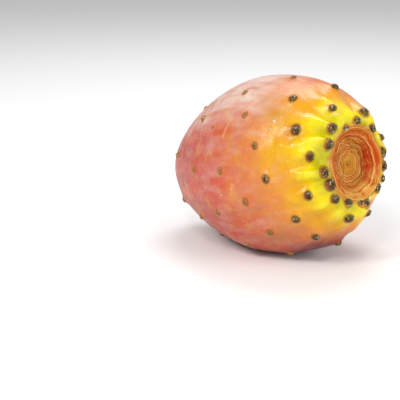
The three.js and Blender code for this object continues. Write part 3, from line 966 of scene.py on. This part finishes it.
# Real bristles are thinner; these are as thick as they need to be to show.
BRISTLE_SIZES = {
    "Length": 0.75 * MM,
    "Root radius": 0.1 * MM,
    "Bristles per m2": 1.2e6,
    "Tilt": 0.7,
}
BRISTLE_SEED = 7
# Bristles stand above this share of a cushion's height, and the shortest has this share of the length.
TUFT_FROM = 0.3
SHORTEST_BRISTLE = 0.45


def bristle_tree(material):
    """Short barbed bristles that stand in tufts on the cushions, and stay inside the part's box."""
    tree = new_tree("areole bristles", BRISTLE_SIZES)
    given = node(tree, "NodeGroupInput").outputs
    stub = node(tree, "GeometryNodeMeshCone", {
        "Vertices": 4, "Radius Top": 0.0, "Radius Bottom": given["Root radius"], "Depth": given["Length"],
    }, fill_type="NGON").outputs[0]

    knob = node(tree, "GeometryNodeInputNamedAttribute", {"Name": "knob"}, data_type="FLOAT_VECTOR")
    height = node(tree, "ShaderNodeSeparateXYZ", {0: knob.outputs[0]}).outputs["Z"]
    spot = node(tree, "GeometryNodeInputPosition").outputs[0]
    low, high = (Vector(corner) for corner in cad_box)
    middle = (low + high) / 2
    centred = node(tree, "ShaderNodeVectorMath", {0: spot, 1: middle}, operation="SUBTRACT").outputs[0]
    off = node(tree, "ShaderNodeVectorMath", {0: centred}, operation="ABSOLUTE").outputs[0]
    room = (high - low) / 2 - Vector((1, 1, 1)) * BRISTLE_SIZES["Length"]
    apart = node(tree, "ShaderNodeVectorMath", {0: room, 1: off}, operation="SUBTRACT").outputs[0]
    gaps = node(tree, "ShaderNodeSeparateXYZ", {0: apart}).outputs
    nearest = node(tree, "ShaderNodeMath", {0: gaps["X"], 1: gaps["Y"]}, operation="MINIMUM").outputs[0]
    nearest = node(tree, "ShaderNodeMath", {0: nearest, 1: gaps["Z"]}, operation="MINIMUM").outputs[0]
    inside = node(tree, "FunctionNodeCompare", {0: nearest, 1: 0.0}, operation="GREATER_THAN")
    upper = node(tree, "FunctionNodeCompare", {0: height, 1: TUFT_FROM}, operation="GREATER_THAN")
    wanted = node(tree, "FunctionNodeBooleanMath", {
        0: inside.outputs[0], 1: upper.outputs[0],
    }, operation="AND").outputs[0]
    scattered = node(tree, "GeometryNodeDistributePointsOnFaces", {
        "Mesh": given["Geometry"], "Selection": wanted,
        "Density": given["Bristles per m2"], "Seed": BRISTLE_SEED,
    }).outputs

    lean = node(tree, "FunctionNodeRandomValue", {
        0: (-1, -1, -1), 1: (1, 1, 1), "Seed": BRISTLE_SEED,
    }, data_type="FLOAT_VECTOR").outputs[0]
    leaning = node(tree, "ShaderNodeVectorMath", {0: lean, "Scale": given["Tilt"]}, operation="SCALE")
    way = node(tree, "ShaderNodeVectorMath", {
        0: scattered["Normal"], 1: leaning.outputs[0],
    }, operation="ADD").outputs[0]
    stood = node(tree, "FunctionNodeAlignRotationToVector", {"Vector": way}, axis="Z").outputs[0]
    length = node(tree, "FunctionNodeRandomValue", {
        2: SHORTEST_BRISTLE, 3: 1.0, "Seed": BRISTLE_SEED + 1,
    }).outputs[1]
    placed = node(tree, "GeometryNodeInstanceOnPoints", {
        "Points": scattered["Points"], "Instance": stub, "Rotation": stood, "Scale": length,
    }).outputs[0]
    real = node(tree, "GeometryNodeRealizeInstances", {"Geometry": placed}).outputs[0]
    dressed = node(tree, "GeometryNodeSetMaterial", {"Geometry": real, "Material": material}).outputs[0]
    node(tree, "NodeGroupOutput", {"Geometry": dressed})
    return tree


# ---------------------------------------------------------------- camera, floor and lights

CAMERA_AZIMUTH = math.radians(48.6)
CAMERA_ELEVATION = math.radians(15.0)
CAMERA_LENS = 100.0
CAMERA_SENSOR = 36.0
NEAREST_SEEN = 0.01
# Where the middle of the fruit's axis lies as the camera sees it: right, up and away, in mm.
FRUIT_IN_VIEW = (22.3, 11.8, 358.5)

VIEW_RIGHT = Vector((math.cos(CAMERA_AZIMUTH), math.sin(CAMERA_AZIMUTH), 0))
VIEW_BACK = Vector((
    math.sin(CAMERA_AZIMUTH) * math.cos(CAMERA_ELEVATION),
    -math.cos(CAMERA_AZIMUTH) * math.cos(CAMERA_ELEVATION),
    math.sin(CAMERA_ELEVATION),
))
VIEW_UP = VIEW_BACK.cross(VIEW_RIGHT)


def add_camera():
    """A long lens that looks at the flower end from slightly above."""
    right, up, away = FRUIT_IN_VIEW
    spot = Vector(AXIS_MIDDLE) - VIEW_RIGHT * right - VIEW_UP * up + VIEW_BACK * away
    data = bpy.data.cameras.new("camera")
    data.lens = CAMERA_LENS
    data.sensor_width = CAMERA_SENSOR
    data.clip_start = NEAREST_SEEN
    camera = bpy.data.objects.new("camera", data)
    camera.matrix_world = Matrix.Translation(spot * MM) @ Matrix(
        (VIEW_RIGHT, VIEW_UP, VIEW_BACK)
    ).transposed().to_4x4()
    bpy.context.scene.collection.objects.link(camera)
    bpy.context.scene.camera = camera


# Square soft lights as (name, way from the fruit, distance in m, width in m, watts). The way is how far
# right, up and towards the camera.
LIGHTS = [
    ("key", (-0.62, 0.5, 0.75), 0.6, 0.18, 1.5),
    ("spark", (-0.15, 0.46, 0.88), 0.6, 0.08, 0.56),
    ("top", (0.1, 0.95, -0.25), 0.6, 0.3, 1.5),
    ("fill", (0.95, 0.3, 0.6), 0.7, 0.4, 2.0),
]
FLOOR_HALF_WIDTH = 6.0
ROOM_BRIGHTNESS = 0.5


def add_light(name, toward, distance, size, power):
    """One of the lights, turned to the middle of the fruit."""
    way = VIEW_RIGHT * toward[0] + VIEW_UP * toward[1] + VIEW_BACK * toward[2]
    way.normalize()
    data = bpy.data.lights.new(name, "AREA")
    data.size = size
    data.energy = power
    light = bpy.data.objects.new(name, data)
    light.location = Vector(AXIS_MIDDLE) * MM + way * distance
    light.rotation_mode = "QUATERNION"
    light.rotation_quaternion = way.to_track_quat("Z", "Y")
    bpy.context.scene.collection.objects.link(light)


def add_floor():
    """A wide white board under the fruit, which catches its shadow."""
    half = FLOOR_HALF_WIDTH
    corners = [(-half, -half, 0), (half, -half, 0), (half, half, 0), (-half, half, 0)]
    mesh = bpy.data.meshes.new("floor")
    mesh.from_pydata(corners, [], [(0, 1, 2, 3)])
    mesh.materials.append(plain_material("matt white board", "#f4f4f4", 0.9))
    add_piece("floor", mesh)


def add_world():
    """An even white light from all round."""
    world = bpy.data.worlds.new("white room")
    world.use_nodes = True
    background = world.node_tree.nodes["Background"]
    background.inputs["Color"].default_value = linear("#ffffff")
    background.inputs["Strength"].default_value = ROOM_BRIGHTNESS
    bpy.context.scene.world = world


# ---------------------------------------------------------------- making the scene

bpy.context.scene.view_settings.view_transform = "Standard"
add_camera()
add_world()
add_floor()
for light in LIGHTS:
    add_light(*light)

fruit = add_piece("fruit", rind_mesh(rind_material(), cork_material()))
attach(fruit, "root")
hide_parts("prickly_pear")

scar = add_piece("flower_scar", scar_mesh(scar_material()))
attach(scar, "root")

cushions = grow("areole_cushions", areole_points(), cushion_tree(felt_material()), CUSHION_SIZES)
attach(cushions, "root")

# Bristles are dry stiff hairs: straw-coloured, with a slight sheen.
straw = plain_material("straw-coloured bristle", "#8a6c3c", 0.45)
bristles = grow("areole_bristles", cushions.data.copy(), bristle_tree(straw), BRISTLE_SIZES)
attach(bristles, "root")
